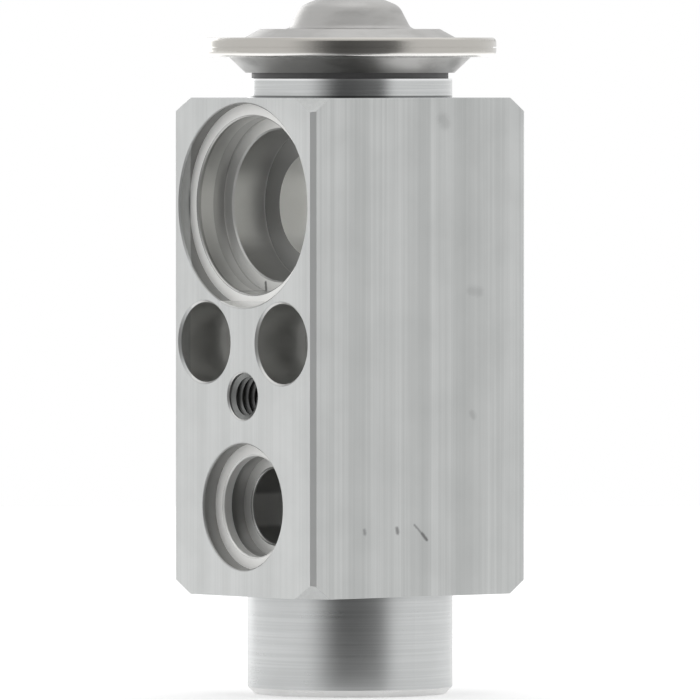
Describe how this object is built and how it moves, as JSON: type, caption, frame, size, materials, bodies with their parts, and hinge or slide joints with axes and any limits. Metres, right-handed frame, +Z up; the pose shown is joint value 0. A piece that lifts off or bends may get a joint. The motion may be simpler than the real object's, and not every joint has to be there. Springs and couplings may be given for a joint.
{
  "type": "thermostatic expansion valve",
  "caption": "Block-type expansion valve: rectangular aluminium body with stepped ports, a welded diaphragm head on a turned neck, and a sprung ball with an adjusting screw below.",
  "frame": {"origin": "centre of the stub's lower end, on which the valve stands", "axes": "+Z up along the valve's axis to the head, -Y out of the front port face with the threaded hole, +Y out of the rear port face, +X out of a plain side"},
  "size_m": [0.0378, 0.0378, 0.0903],
  "materials": {
    "block_aluminium": "extruded sides with lengthwise streaks, milled ports, turned neck and stub",
    "head_steel": "formed stainless sheet, satin, welded at the rim",
    "gasket_rubber": "smooth black rubber",
    "diaphragm_steel": "thin bright stainless foil",
    "pad_brass": "turned",
    "rod_aluminium": "turned",
    "sleeve_resin": "moulded, natural resin",
    "pin_steel": "ground",
    "spring_steel": "drawn wire",
    "screw_brass": "turned"
  },
  "bodies": {
    "valve_body": {"valve_block": "block_aluminium", "head_upper_shell": "head_steel", "head_lower_shell": "head_steel", "charge_plug": "head_steel", "head_gasket": "gasket_rubber", "diaphragm": "diaphragm_steel", "rod_seal": "gasket_rubber", "seal_retainer": "pin_steel"},
    "stem": {"thrust_pad": "pad_brass", "sensing_rod": "rod_aluminium", "rod_sleeve": "sleeve_resin", "push_pin": "pin_steel", "valve_ball": "pin_steel", "ball_carrier": "pin_steel"},
    "screw_carriage": {"screw_seal": "gasket_rubber", "valve_spring": "spring_steel"},
    "adjuster": {"adjusting_screw": "screw_brass"}
  },
  "joints": [
    {"name": "stem_stroke", "type": "slide", "parent": "valve_body", "child": "stem", "axis": [0, 0, 1], "range_m": [-0.0006, 0], "stiffness_N_per_m": 20000, "springref_m": 0.0005, "deforming": ["valve_spring", "diaphragm"]},
    {"name": "screw_advance", "type": "slide", "parent": "valve_body", "child": "screw_carriage", "axis": [0, 0, 1], "range_m": [-0.001, 0.001]},
    {"name": "screw_turn", "type": "hinge", "parent": "screw_carriage", "child": "adjuster", "pos_m": [0, 0, 0.007], "axis": [0, 0, 1], "range_deg": [-360, 360]}
  ],
  "couplings": [
    {"joint": "screw_turn", "follows": "screw_advance", "rad_per_m": 6283.2}
  ]
}
